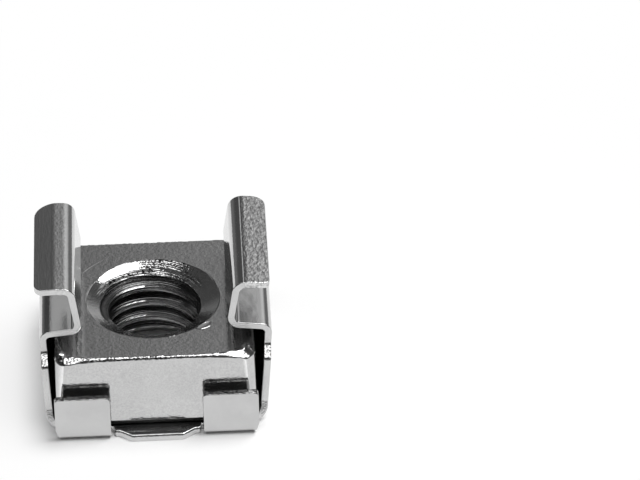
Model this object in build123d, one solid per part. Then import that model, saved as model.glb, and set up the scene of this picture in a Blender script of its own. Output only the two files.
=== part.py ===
from build123d import *
import math
import os

# Rack cage nut: a square nut held loosely in a cage folded from one strip of spring steel.
# Lengths are in millimetres and angles in degrees. X runs through the two spring legs, Y through
# the tabs, and +Z is up along the thread. The origin is the middle of the base plate's underside.

# What the part serves: the screw thread and the square hole in the rack
THREAD_MAJOR = 6.0
THREAD_PITCH = 1.0
RACK_HOLE = 9.5

# Square nut
NUT_WIDTH = 11.0
NUT_THICKNESS = 4.5
NUT_CORNER = 0.5
NUT_SPREAD = 0.2
NUT_TOP_EDGE = 0.25
NUT_BOTTOM_EDGE = 0.38
COUNTERSINK_FLARE = 1.45
COUNTERSINK_ANGLE = 120.0

# Sheet of the cage, and its hole for the screw with the rolled edge that the punch leaves below
SHEET = 0.4
SCREW_PLAY = 1.05
HOLE_ROLL = 0.32

# Base plate: bend up to the legs, and the slits that free the legs from the tabs
PLATE_BEND = 0.6
LEG_GAP = 0.24
CORNER_LAND = 0.35
CORNER_SLIT = 0.25
SLIT_RUN = 0.05

# Upturned tabs on the two sides without legs
TAB_GAP = 0.5
TAB_BEND = 0.2
TAB_HEIGHT = 2.45
TAB_SPACING = 5.1
TAB_OVERHANG = 0.1
TAB_CORNER = 0.15

# Flat lip between the two tabs of a side, and the notches that part it from them
LIP_PROUD = 0.2
LIP_TIP_WIDTH = 2.84
LIP_CHAMFER_ALONG = 0.68
LIP_CHAMFER_ACROSS = 0.48
RELIEF_WIDTH = 0.18
RELIEF_DEPTH = 0.1

# Spring legs: outline seen from the side, from the flared foot to the step below the ear
FOOT_FLARE = 0.3
FLARE_HEIGHT = 0.8
STEP_HEIGHT = 0.55
STEP_DROP = 0.9
STEP_ROUND = 0.3
EAR_PLAY = 1.2

# Ears: shoulder over the nut, wall that stands in the rack hole, and hook over the panel's edge
NUT_LIFT = 0.55
SHOULDER_BEND = 0.22
SHOULDER_RISE = 7.0
CHANNEL_HEIGHT = 2.9
HOOK_REACH = 1.68

# The two ears differ a little in how they are sprung and formed
LEFT_LEG_LEAN = 2.0
LEFT_WALL_LEAN = 7.5
LEFT_WALL_PLAY = 0.69
LEFT_FOOT_BEND = 0.25
LEFT_TOP_BEND = 0.28
LEFT_FRONT_CORNER = 0.6
LEFT_BACK_CORNER = 1.3
RIGHT_LEG_LEAN = 4.5
RIGHT_WALL_LEAN = 9.5
RIGHT_WALL_PLAY = 0.61
RIGHT_FOOT_BEND = 0.32
RIGHT_TOP_BEND = 0.42
RIGHT_FRONT_CORNER = 0.35
RIGHT_BACK_CORNER = 0.8

# Nut sizes that follow from the ones above
nut_half = NUT_WIDTH / 2
nut_foot = nut_half + NUT_SPREAD
nut_top = SHEET + NUT_THICKNESS
bore_radius = (THREAD_MAJOR - THREAD_PITCH) / 2
mouth_radius = (THREAD_MAJOR + COUNTERSINK_FLARE) / 2
countersink_depth = (mouth_radius - bore_radius) / math.tan(math.radians(COUNTERSINK_ANGLE / 2))

# Cage sizes that follow: plate, tabs, legs and ears are set around the nut and the rack hole
hole_radius = (THREAD_MAJOR + SCREW_PLAY) / 2
middle = SHEET / 2
leg_middle = nut_half + LEG_GAP + middle
plate_bend_top = SHEET + PLATE_BEND
leg_root = nut_half + LEG_GAP - PLATE_BEND - SLIT_RUN
tab_middle = nut_half + TAB_GAP + middle
tab_root = nut_half + TAB_GAP - TAB_BEND
tab_top = SHEET + TAB_HEIGHT
tab_near = TAB_SPACING / 2
tab_far = nut_half + TAB_OVERHANG
land_half = tab_root - CORNER_LAND
foot_half = land_half - CORNER_SLIT
leg_half = foot_half - FOOT_FLARE
ear_half = (RACK_HOLE - EAR_PLAY) / 2
shoulder_height = nut_top + NUT_LIFT + middle
step_top = nut_top + NUT_LIFT - STEP_DROP
hook_height = shoulder_height + CHANNEL_HEIGHT
hook_tip = RACK_HOLE / 2 + HOOK_REACH
overrun = SHEET


def offset_side(path, bends, shift):
    """Points and bend radii of the line that runs beside a path, shifted to its left."""
    runs = [(end - start).normalized() for start, end in zip(path, path[1:])]
    normals = [Vector(-run.Y, run.X) for run in runs]
    points = [path[0] + normals[0] * shift]
    radii = []
    for corner, run, before, after, bend in zip(path[1:], runs, normals, normals[1:], bends):
        points.append(corner + (before + after) * (shift / (1 + before.dot(after))))
        inside = run.dot(after) * shift < 0
        radii.append(bend if inside else bend + SHEET)
    points.append(path[-1] + normals[-1] * shift)
    return points, radii


def strip_section(path, bends):
    """Section of a folded strip: a middle line given the sheet's thickness and round bends."""
    left_points, left_radii = offset_side(path, bends, middle)
    right_points, right_radii = offset_side(path, bends, -middle)
    left = FilletPolyline(left_points, radius=left_radii)
    right = FilletPolyline(right_points, radius=right_radii)
    ends = [Line(left @ 0, right @ 0), Line(left @ 1, right @ 1)]
    return make_face([*left.edges(), *right.edges(), *ends])


def four_way(quadrant):
    """Closed loop of points that mirrors one quadrant's points about both axes."""
    upper = [(-x, y) for x, y in reversed(quadrant)] + quadrant
    return upper + [(x, -y) for x, y in reversed(upper)]


def make_plate():
    """Flat of the base plate, with both lips, the notches and slits, and the rolled hole."""
    tip = LIP_TIP_WIDTH / 2
    tip_reach = nut_half + TAB_GAP + SHEET + LIP_PROUD
    ledge = tip_reach - LIP_CHAMFER_ACROSS
    notch = tab_near - RELIEF_WIDTH
    notch_end = tab_root - RELIEF_DEPTH
    quadrant = [
        (tip, tip_reach),
        (tip + LIP_CHAMFER_ALONG, ledge),
        (notch, ledge),
        (notch, notch_end),
        (tab_near, notch_end),
        (tab_near, tab_root),
        (tab_far, tab_root),
        (tab_far, land_half),
        (leg_root, land_half),
        (leg_root, foot_half),
    ]
    blank = extrude(make_face(Polyline(four_way(quadrant), close=True)), amount=SHEET)
    plate = blank - Pos(0, 0, middle) * Cylinder(hole_radius, SHEET + overrun)
    hole_edge = plate.edges().filter_by(GeomType.CIRCLE).sort_by(Axis.Z)[0]
    return fillet(hole_edge, HOLE_ROLL)


def make_tab():
    """One upturned tab, with its bend and the two rounded corners of its free end."""
    path = [Vector(land_half, middle), Vector(tab_middle, middle), Vector(tab_middle, tab_top)]
    section = Plane.YZ * strip_section(path, [TAB_BEND])
    tab = Pos(tab_near, 0, 0) * extrude(section, amount=tab_far - tab_near)
    free_edges = tab.edges().filter_by(Axis.Y).group_by(Axis.Z)[-1]
    return fillet(free_edges, TAB_CORNER)


def leg_outline():
    """Outline of a leg and its ear seen along X: flared foot, wide leg, step and narrower ear."""
    above = hook_height + SHEET
    side = [
        (foot_half, -overrun),
        (foot_half, SHEET),
        (leg_half, SHEET + FLARE_HEIGHT),
        (leg_half, step_top - STEP_HEIGHT),
        (ear_half, step_top),
        (ear_half, above),
    ]
    loop = side + [(-y, z) for y, z in reversed(side)]
    rounds = [0, STEP_ROUND, STEP_ROUND, STEP_ROUND, STEP_ROUND, 0]
    edges = FilletPolyline(loop, radius=rounds + rounds[::-1], close=True)
    return Plane.YZ * make_face(edges.edges())


def ear_path(leg_lean, wall_lean, wall_play):
    """Middle line of a leg and its ear in X and Z, from the plate's edge to the hook's tip."""
    lean = math.tan(math.radians(leg_lean))
    slope = math.tan(math.radians(wall_lean))
    rise = math.tan(math.radians(SHOULDER_RISE))
    heel = leg_middle - (plate_bend_top - middle) * lean
    shoulder = leg_middle + (shoulder_height - plate_bend_top) * lean
    wall = RACK_HOLE / 2 - wall_play
    wall_foot = (wall + shoulder * rise * slope) / (1 + rise * slope)
    return [
        Vector(leg_root, middle),
        Vector(heel, middle),
        Vector(shoulder, shoulder_height),
        Vector(wall_foot, shoulder_height + (shoulder - wall_foot) * rise),
        Vector(wall + CHANNEL_HEIGHT * slope, hook_height),
        Vector(hook_tip, hook_height),
    ]


def corner_cutter(radius):
    """What a rounded corner takes off the hook's tip, on the +Y side."""
    reach = radius + overrun
    centre = Pos(hook_tip - radius, ear_half - radius, hook_height - SHEET)
    square = Rectangle(reach, reach, align=(Align.MIN, Align.MIN))
    return extrude(centre * (square - Circle(radius)), amount=SHEET + overrun)


def make_ear(leg_lean, wall_lean, wall_play, bends, front_corner, back_corner):
    """One spring leg with its ear, standing on the +X side."""
    section = Plane.XZ * strip_section(ear_path(leg_lean, wall_lean, wall_play), bends)
    strip = extrude(section, amount=foot_half + overrun, both=True)
    ear = strip & extrude(leg_outline(), amount=hook_tip + nut_half)
    ear -= corner_cutter(back_corner)
    return ear - mirror(corner_cutter(front_corner), about=Plane.XZ)


def make_cage():
    """The folded sheet: plate, four tabs and two ears as one solid."""
    left = make_ear(
        LEFT_LEG_LEAN,
        LEFT_WALL_LEAN,
        LEFT_WALL_PLAY,
        [PLATE_BEND, SHOULDER_BEND, LEFT_FOOT_BEND, LEFT_TOP_BEND],
        LEFT_FRONT_CORNER,
        LEFT_BACK_CORNER,
    )
    right = make_ear(
        RIGHT_LEG_LEAN,
        RIGHT_WALL_LEAN,
        RIGHT_WALL_PLAY,
        [PLATE_BEND, SHOULDER_BEND, RIGHT_FOOT_BEND, RIGHT_TOP_BEND],
        RIGHT_FRONT_CORNER,
        RIGHT_BACK_CORNER,
    )
    tab = make_tab()
    tabs = [tab, mirror(tab, about=Plane.YZ)]
    tabs += [mirror(one, about=Plane.XZ) for one in tabs]
    return make_plate() + tabs + [mirror(left, about=Plane.YZ), right]


def make_nut():
    """The square nut: block that spreads downwards in Y, bored, and countersunk from both faces."""
    side = [(-nut_foot, SHEET), (nut_foot, SHEET), (nut_half, nut_top), (-nut_half, nut_top)]
    section = Plane.YZ * make_face(Polyline(side, close=True))
    block = extrude(section, amount=nut_half, both=True)
    block = fillet(block.edges().group_by(Axis.Z)[1], NUT_CORNER)
    block = fillet(block.faces().sort_by(Axis.Z)[-1].edges(), min(NUT_TOP_EDGE, NUT_CORNER))
    block = fillet(block.faces().sort_by(Axis.Z)[0].edges(), min(NUT_BOTTOM_EDGE, NUT_CORNER))
    bore = Pos(0, 0, nut_top / 2) * Cylinder(bore_radius, nut_top + overrun)
    cone = Cone(bore_radius, mouth_radius, countersink_depth)
    top_cone = Pos(0, 0, nut_top - countersink_depth / 2) * cone
    bottom_cone = Pos(0, 0, SHEET + countersink_depth / 2) * mirror(cone, about=Plane.XY)
    return block - bore - top_cone - bottom_cone


def main():
    """Build both pieces and write each to its own file."""
    os.makedirs("parts", exist_ok=True)
    pieces = {"cage": make_cage(), "nut": make_nut()}
    for name, piece in pieces.items():
        piece.label = name
        export_step(piece, f"parts/{name}.step")
        box = piece.bounding_box()
        print(name, "solids", len(piece.solids()), "volume", round(piece.volume, 3), box)


main()
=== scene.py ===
"""Studio scene of a rack cage nut.

A square nut lies loose in a cage that is folded from one strip of plated spring steel. The cage is
made here the way the press makes it: a flat blank with sheared edges is cut out, and its legs, ears
and tabs are then folded up. The nut is one closed surface that winds from the threaded bore over
both countersinks and faces to the outside.

Sizes are in millimetres and angles in degrees, and a mesh is brought to metres when it is stored.
"""

import logging
import math
from dataclasses import dataclass, field
from enum import Enum

import bmesh
import bpy
import numpy as np
from mathutils import Matrix, Vector


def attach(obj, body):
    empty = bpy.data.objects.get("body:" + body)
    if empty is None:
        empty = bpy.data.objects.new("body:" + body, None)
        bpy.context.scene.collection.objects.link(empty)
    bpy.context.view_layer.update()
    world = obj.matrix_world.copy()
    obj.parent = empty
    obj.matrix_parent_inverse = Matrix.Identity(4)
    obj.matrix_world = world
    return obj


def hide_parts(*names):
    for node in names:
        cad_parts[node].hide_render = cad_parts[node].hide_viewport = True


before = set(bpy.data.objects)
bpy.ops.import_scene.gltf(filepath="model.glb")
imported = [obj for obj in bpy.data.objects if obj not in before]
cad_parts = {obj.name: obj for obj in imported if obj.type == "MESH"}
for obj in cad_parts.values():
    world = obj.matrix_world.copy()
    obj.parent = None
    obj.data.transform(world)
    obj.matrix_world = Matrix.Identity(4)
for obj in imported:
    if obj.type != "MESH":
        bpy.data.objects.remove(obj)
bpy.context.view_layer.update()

LOG = logging.getLogger("cage_nut")
MM = 0.001
Array = np.ndarray
Pair = tuple[float, float]
Triple = tuple[float, float, float]
Window = tuple[float, float, float, float]


class Side(Enum):
    """The two spring legs, by the sign of the X they stand at."""

    LEFT = -1
    RIGHT = 1


class End(Enum):
    """The two ends of an ear, by the sign of the Y they point to."""

    FRONT = -1
    BACK = 1


class Band(Enum):
    """Bands of rings that the nut's closed surface is made of, in order."""

    BORE = "bore"
    UPPER_FACE = "upper face"
    SLOPE = "slope"
    SHOULDER = "shoulder"
    WALL = "wall"
    FOOT = "foot"
    LOWER_FACE = "lower face"


class Zone(Enum):
    """Names of the point attributes that tell a finish where it is on a piece."""

    SHEARED = "sheared"
    BURR = "burr"
    # Unplated metal, with painted shade in the bore, at the mouth and at the foot.
    BARE_AND_SHADE = "bare_and_shade"
    # Painted highlight: lighter stripes down the nut's corners.
    CORNER_SHEEN = "corner_sheen"


# Shader graphs


class Wire:
    """One value in a shader graph, on which arithmetic adds Math nodes."""

    def __init__(self, graph: "Graph", socket: bpy.types.NodeSocket) -> None:
        """Wrap a socket of a graph's node."""
        self.graph = graph
        self.socket = socket

    def math(self, operation: str, *others: "Wire | float") -> "Wire":
        """Join this value with others through a Math node.

        Args:
            operation: The node's operation.
            others: Further inputs, in the node's order.

        Returns:
            The node's result.
        """
        inputs = dict(enumerate((self, *others)))
        return self.graph.node("ShaderNodeMath", {"operation": operation}, inputs)

    def __add__(self, other: "Wire | float") -> "Wire":
        """Sum."""
        return self.math("ADD", other)

    def __sub__(self, other: "Wire | float") -> "Wire":
        """Difference."""
        return self.math("SUBTRACT", other)

    def __mul__(self, other: "Wire | float") -> "Wire":
        """Product."""
        return self.math("MULTIPLY", other)

    def __rsub__(self, other: float) -> "Wire":
        """Difference, from a plain number."""
        return self.graph.node("ShaderNodeMath", {"operation": "SUBTRACT"}, {0: other, 1: self})

    __radd__ = __add__
    __rmul__ = __mul__

    def ease(self, low: float, high: float, start: float = 0.0, end: float = 1.0) -> "Wire":
        """Pass smoothly from one value to another.

        Args:
            low: Input at which the result is start.
            high: Input at which the result is end.
            start: Result below low.
            end: Result above high.

        Returns:
            The eased value.
        """
        settings = {"interpolation_type": "SMOOTHSTEP"}
        values = {"Value": self, "From Min": low, "From Max": high, "To Min": start, "To Max": end}
        return self.graph.node("ShaderNodeMapRange", settings, values)

    def window(self, start: float, full: float, leave: float, end: float) -> "Wire":
        """Rise smoothly from 0 at start to 1 at full, and fall again from leave to 0 at end."""
        return self.ease(start, full) * self.ease(leave, end, 1.0, 0.0)

    def larger(self, other: "Wire | float") -> "Wire":
        """The larger of two values."""
        return self.math("MAXIMUM", other)


class Graph:
    """A node tree that is filled by one node-making method."""

    def __init__(self, tree: bpy.types.NodeTree) -> None:
        """Start from an emptied node tree."""
        self.tree = tree
        tree.nodes.clear()

    def node(self, kind: str, settings: dict, inputs: dict, output: "str | int" = 0) -> Wire:
        """Add a node.

        Args:
            kind: The node's type.
            settings: Properties, which are set first.
            inputs: Socket name or number to a value or a Wire.
            output: The socket that the returned Wire stands for.

        Returns:
            A Wire on the node's output.
        """
        made = self.tree.nodes.new(kind)
        for name, value in settings.items():
            setattr(made, name, value)
        for name, value in inputs.items():
            if isinstance(value, Wire):
                self.tree.links.new(value.socket, made.inputs[name])
            else:
                made.inputs[name].default_value = value
        return Wire(self, made.outputs[output] if len(made.outputs) else None)

    def split(self, vector: Wire) -> tuple[Wire, Wire, Wire]:
        """Take a vector apart.

        Args:
            vector: The vector.

        Returns:
            Its three numbers.
        """
        first = self.node("ShaderNodeSeparateXYZ", {}, {0: vector}, "X")
        outputs = first.socket.node.outputs
        return first, Wire(self, outputs["Y"]), Wire(self, outputs["Z"])

    def place(self) -> Wire:
        """Read where a point lies on its piece.

        Returns:
            Object coordinates in millimetres.
        """
        coordinates = self.node("ShaderNodeTexCoord", {}, {}, "Object")
        scale = {0: coordinates, "Scale": 1 / MM}
        return self.node("ShaderNodeVectorMath", {"operation": "SCALE"}, scale, "Vector")

    def noise(self, vector: Wire, size: float, detail: float = 2.0, rough: float = 0.5,
              stretch: "Triple | None" = None) -> Wire:
        """Noise from 0 to 1.

        Args:
            vector: Coordinates in millimetres.
            size: Width of a blotch in millimetres.
            detail: Number of finer layers.
            rough: Strength of each finer layer.
            stretch: Factors on the coordinates, which draw a blotch out where they are under 1.

        Returns:
            The noise value.
        """
        if stretch is not None:
            inputs = {0: vector, "Scale": stretch}
            vector = self.node("ShaderNodeMapping", {"vector_type": "POINT"}, inputs)
        values = {"Vector": vector, "Scale": 1 / size, "Detail": detail, "Roughness": rough}
        return self.node("ShaderNodeTexNoise", {}, values, "Fac")

    def zone(self, zone: Zone) -> Wire:
        """How far a point belongs to a zone of its piece, from 0 to 1."""
        settings = {"attribute_type": "GEOMETRY", "attribute_name": zone.value}
        return self.node("ShaderNodeAttribute", settings, {}, "Fac")

    def grey(self, level: Wire) -> Wire:
        """A grey of a varying level, made a colour."""
        values = {"Red": level, "Green": level, "Blue": level}
        return self.node("ShaderNodeCombineColor", {}, values)

    def relief(self, height: Wire, depth: float, below: "Wire | None" = None) -> Wire:
        """Turn a height into a normal.

        Args:
            height: Height from 0 to 1.
            depth: Height of 1 in millimetres.
            below: A normal that this relief lies on.

        Returns:
            The bumped normal.
        """
        values = {"Height": height, "Distance": depth * MM, "Strength": 1.0}
        if below is not None:
            values["Normal"] = below
        return self.node("ShaderNodeBump", {}, values)


def new_material(name: str) -> tuple[bpy.types.Material, Graph]:
    """Start a material.

    Args:
        name: Its name.

    Returns:
        The material and its emptied graph.
    """
    made = bpy.data.materials.new(name)
    made.use_nodes = True
    return made, Graph(made.node_tree)


def add_object(name: str, data: bpy.types.ID) -> bpy.types.Object:
    """Put an object into the scene, at the origin.

    Args:
        name: Its name.
        data: Its mesh, lamp or lens.

    Returns:
        The object.
    """
    made = bpy.data.objects.new(name, data)
    bpy.context.scene.collection.objects.link(made)
    return made


@dataclass(frozen=True)
class Plating:
    """Bright plating: its grey level, and the layers of relief that break up its reflections."""

    bright: float = 0.57
    dull: float = 0.535
    rough: float = 0.085
    rough_play: Pair = (1.3, 0.8)
    patch_size: float = 1.6
    patch_edge: Pair = (0.3, 0.7)
    wave_size: float = 1.1
    wave_stretch: Triple = (1.0, 0.4, 0.6)
    wave_depth: float = 0.004
    peel_size: float = 0.17
    peel_stretch: Triple = (0.6, 1.0, 1.0)
    peel_depth: float = 0.003
    grain_size: float = 0.065
    grain_depth: float = 0.0022
    speckle: float = 0.05

    def surface(self, graph: Graph, place: Wire, peel: "Wire | float") -> tuple[Wire, Wire, Wire]:
        """Grey level, roughness and normal of the plating.

        Wide patches pass between the two grey levels, and are a little rougher where duller. Long
        waves, orange peel and fine grain lie on one another.

        Args:
            graph: The material's graph.
            place: Coordinates in millimetres.
            peel: How many times stronger than usual the orange peel is.

        Returns:
            The grey level, the roughness and the normal.
        """
        patches = graph.noise(place, self.patch_size)
        waves = graph.noise(place, self.wave_size, detail=1.0, stretch=self.wave_stretch)
        lumps = graph.noise(place, self.peel_size, rough=0.6, stretch=self.peel_stretch)
        grain = graph.noise(place, self.grain_size, detail=1.0)
        level = patches.ease(*self.patch_edge, self.dull, self.bright)
        level = level + (grain - 0.5) * self.speckle
        rough = patches.ease(*self.patch_edge, *(self.rough * play for play in self.rough_play))
        normal = graph.relief(waves, self.wave_depth)
        normal = graph.relief((lumps - 0.5) * peel, self.peel_depth, normal)
        return level, rough, graph.relief(grain, self.grain_depth, normal)


@dataclass(frozen=True)
class PlatedSheet:
    """Plated spring steel sheet: strained at the hooks, with torn, satin sheared edges.

    The sheared edges are blotched dark at the legs' steps, and on the tabs' tops with painted shade.
    """

    plating: Plating = Plating()
    edge_level: float = 0.62
    edge_rough: float = 0.2
    tear_size: float = 0.09
    tear_depth: float = 0.022
    blotch_edge: Pair = (0.45, 0.6)
    hook_height: Pair = (7.9, 8.3)
    right_hook: Pair = (4.8, 5.3)
    left_stripe: Window = (-5.5, -5.2, -4.75, -4.6)
    left_strain: float = 0.35
    strain_size: float = 0.19
    strain_stretch: Triple = (1.0, 0.7, 1.0)
    strain_depth: float = 0.04
    strain_speckle: float = 0.9
    strain_rough: float = 0.08
    streak_size: float = 0.1
    streak_stretch: Triple = (1.0, 0.12, 0.3)
    streak_depth: float = 0.003
    step_height: Window = (3.9, 4.05, 4.5, 4.65)
    step_dark: float = 0.45
    tab_place: Pair = (5.6, 5.8)
    tab_top: Pair = (2.5, 2.7)
    tab_painted_shade: float = 0.6

    def material(self) -> bpy.types.Material:
        """Build the sheet's material.

        Returns:
            The material.
        """
        made, graph = new_material("plated_sheet")
        place = graph.place()
        x, y, z = graph.split(place)
        on_hook = z.ease(*self.hook_height)
        strain = x.ease(*self.right_hook) + x.window(*self.left_stripe) * self.left_strain
        strain = strain * on_hook
        level, rough, normal = self.plating.surface(graph, place, peel=1.0)
        streaks = graph.noise(place, self.streak_size, stretch=self.streak_stretch)
        normal = graph.relief(streaks * on_hook, self.streak_depth, normal)
        skin = graph.noise(place, self.strain_size, detail=1.5, stretch=self.strain_stretch)
        level = level + (skin - 0.5) * strain * self.strain_speckle
        normal = graph.relief(skin * strain, self.strain_depth, normal)
        sheared = graph.zone(Zone.SHEARED)
        level = level + sheared * (self.edge_level - self.plating.bright)
        rough = rough + sheared * (self.edge_rough - self.plating.rough) + strain * self.strain_rough
        blotches = graph.noise(place, self.tear_size).ease(*self.blotch_edge)
        # Painted shade: the sheared tops of the tabs are blotched dark, added to the darkened marks at the legs'
        # steps.
        on_tab = y.math("ABSOLUTE").ease(*self.tab_place) * z.ease(*self.tab_top)
        dark = z.window(*self.step_height) * self.step_dark + on_tab * self.tab_painted_shade
        level = level - dark * blotches * sheared
        tears = graph.noise(place, self.tear_size, detail=3.0, rough=0.6) * sheared
        normal = graph.relief(tears, self.tear_depth, normal)
        return finished(made, graph, level, rough, normal)


@dataclass(frozen=True)
class PlatedNut:
    """Plating over a cold-formed nut: burred edges, and a bore that took little plating.
    Painted shade darkens the bore and the foot, and painted highlights brighten parts of the
    thread, the rim and the corners.

    The upper face, over top_height, has a coarser peel, a scratch round the axis and an oval dent.
    """

    plating: Plating = Plating(
        rough=0.09, peel_depth=0.006, grain_size=0.1, grain_depth=0.004, speckle=0.16
    )
    bare_and_shade_level: float = 0.12
    bare_rough: float = 0.2
    corner_sheen_level: float = 0.9
    burr_size: float = 0.2
    burr_depth: float = 0.03
    pit_size: float = 0.13
    pit_edge: Pair = (0.5, 0.6)
    pit_dark: float = 0.46
    mark_waves: tuple[int, ...] = (5, 8, 13, 19)
    mark_depth: float = 0.01
    pitch: float = 1.0
    top_height: Pair = (4.8, 4.88)
    top_peel: float = 1.5
    scratch_ring: Window = (4.66, 4.71, 4.73, 4.78)
    scratch_turn: Window = (122.0, 136.0, 142.0, 148.0)
    scratch_light: float = 0.35
    dent_place: Pair = (2.8, -2.66)
    dent_size: Pair = (0.5, 0.24)
    dent_turn: float = 32.0
    dent_floor: Pair = (0.4, 0.8)
    dent_ridge: Window = (0.5, 0.9, 1.05, 1.3)
    dent_matt: Pair = (0.6, 0.95)
    dent_depth: float = 0.017
    dent_rough: float = 0.3

    def tool_marks(self, x: Wire, y: Wire, z: Wire) -> Wire:
        """Lines that the tap left: sines of whole multiples of the height in pitches less the turn.

        Each starts at its own number, so that their crests don't fall together.

        Args:
            x, y, z: The place in millimetres.

        Returns:
            The sum of the sines.
        """
        phase = z * (2 * math.pi / self.pitch) - y.math("ARCTAN2", x)
        waves = [(phase * wave + wave).math("SINE") for wave in self.mark_waves]
        return sum(waves[1:], waves[0])

    def from_dent(self, x: Wire, y: Wire) -> Wire:
        """Measure how far a point lies from the oval dent.

        Args:
            x, y: The place in millimetres.

        Returns:
            The distance from the dent's middle in its own half widths, 1 on the oval.
        """
        turn = math.radians(self.dent_turn)
        along, across = x - self.dent_place[0], y - self.dent_place[1]
        first = (along * math.cos(turn) + across * math.sin(turn)) * (1 / self.dent_size[0])
        second = (across * math.cos(turn) - along * math.sin(turn)) * (1 / self.dent_size[1])
        return (first * first + second * second).math("SQRT")

    def material(self) -> bpy.types.Material:
        """Build the nut's material.

        Returns:
            The material.
        """
        made, graph = new_material("plated_nut")
        place = graph.place()
        x, y, z = graph.split(place)
        on_top = z.ease(*self.top_height)
        level, rough, normal = self.plating.surface(graph, place, peel=on_top * self.top_peel + 1.0)
        bare_and_shade, burr, corner_sheen = (graph.zone(zone) for zone in (Zone.BARE_AND_SHADE, Zone.BURR, Zone.CORNER_SHEEN))
        # The zone darkens unplated metal and paints shade in the bore, at the mouth and at the foot.
        level = level + bare_and_shade * (self.bare_and_shade_level - self.plating.bright)
        # Painted highlight: the nut's corners are made lighter.
        level = level + corner_sheen * (self.corner_sheen_level - self.plating.bright)
        rough = rough + bare_and_shade * (self.bare_rough - self.plating.rough)
        marks = self.tool_marks(x, y, z) * bare_and_shade
        normal = graph.relief(marks, self.mark_depth, normal)
        pits = graph.noise(place, self.pit_size, detail=1.5).ease(*self.pit_edge)
        level = level - pits * burr.math("MINIMUM", 1.0) * self.pit_dark
        lumps = graph.noise(place, self.burr_size) * burr
        normal = graph.relief(lumps, self.burr_depth, normal)
        turned = y.math("ARCTAN2", x) * math.degrees(1.0)
        from_axis = (x * x + y * y).math("SQRT")
        scratch = from_axis.window(*self.scratch_ring) * turned.window(*self.scratch_turn)
        level = level + scratch * on_top * self.scratch_light
        away = self.from_dent(x, y)
        rough = rough + away.ease(*self.dent_matt, self.dent_rough, 0.0) * on_top
        dent = away.window(*self.dent_ridge) + away.ease(*self.dent_floor, -1.0, 0.0)
        normal = graph.relief(dent * on_top, self.dent_depth, normal)
        return finished(made, graph, level, rough, normal)


def finished(made: bpy.types.Material, graph: Graph, level: Wire, rough: Wire, normal: Wire,
             metal: float = 0.97) -> bpy.types.Material:
    """Give a material its metal shader, with a trace of matt that keeps the shadows from black.

    Args:
        made: The material.
        graph: Its graph.
        level: Grey level.
        rough: Roughness.
        normal: Normal.
        metal: Share of metal.

    Returns:
        The material.
    """
    values = {"Base Color": graph.grey(level), "Roughness": rough, "Normal": normal}
    shader = graph.node("ShaderNodeBsdfPrincipled", {}, {"Metallic": metal, **values}, "BSDF")
    graph.node("ShaderNodeOutputMaterial", {}, {"Surface": shader})
    return made


# Meshes from whole arrays


def ring_faces(rows: int, columns: int, closed: bool) -> Array:
    """Corner numbers of the quads of a grid whose columns close into rings.

    Point (i, j) has the number i * columns + j, and the quad at (i, j) joins it to (i, j + 1),
    (i + 1, j + 1) and (i + 1, j), all taken round the ring, and round the rows where they close.

    Args:
        rows: Number of rings.
        columns: Number of points in each ring.
        closed: Whether the last ring joins the first.

    Returns:
        One row of four numbers per quad.
    """
    i, j = np.meshgrid(np.arange(rows if closed else rows - 1), np.arange(columns), indexing="ij")
    below, beside = (i + 1) % rows, (j + 1) % columns
    corners = [i * columns + j, i * columns + beside, below * columns + beside, below * columns + j]
    return np.stack(corners, axis=-1).reshape(-1, 4)


def store(name: str, points: Array, faces: Array, zones: dict[Zone, Array]) -> bpy.types.Mesh:
    """Make a mesh from points in millimetres, which it keeps, and attach its zones.

    Args:
        name: The mesh's name.
        points: One row of three numbers per point.
        faces: One row of point numbers per face.
        zones: Zone to one number per point.

    Returns:
        The mesh.
    """
    mesh = bpy.data.meshes.new(name)
    mesh.from_pydata(points.tolist(), [], faces.tolist())
    for zone, values in zones.items():
        layer = mesh.attributes.new(zone.value, "FLOAT", "POINT")
        layer.data.foreach_set("value", np.ascontiguousarray(values, dtype=np.float32).ravel())
    mesh.update()
    return mesh


def read_points(mesh: bpy.types.Mesh) -> Array:
    """Read a mesh's points.

    Args:
        mesh: The mesh.

    Returns:
        One row of three numbers per point.
    """
    flat = np.empty(len(mesh.vertices) * 3, dtype=np.float32)
    mesh.vertices.foreach_get("co", flat)
    return flat.reshape(-1, 3).astype(float)


def finish_piece(mesh: bpy.types.Mesh, points: Array, material: bpy.types.Material, node: str) -> bpy.types.Object:
    """Bring a mesh to metres, smooth it, dress it and let it stand for a node of the frame.

    Args:
        mesh: The mesh.
        points: Its final points in millimetres.
        material: Its finish.
        node: The node that it replaces, whose body it rides on.

    Returns:
        The finished piece.
    """
    mesh.vertices.foreach_set("co", np.ascontiguousarray(points * MM, dtype=np.float32).ravel())
    whole = bmesh.new()
    whole.from_mesh(mesh)
    bmesh.ops.recalc_face_normals(whole, faces=whole.faces)
    whole.to_mesh(mesh)
    whole.free()
    mesh.polygons.foreach_set("use_smooth", np.ones(len(mesh.polygons), dtype=bool))
    mesh.materials.append(material)
    mesh.update()
    piece = add_object(f"plated_{node}", mesh)
    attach(piece, "root")
    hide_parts(node)
    return piece


# The cage


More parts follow.
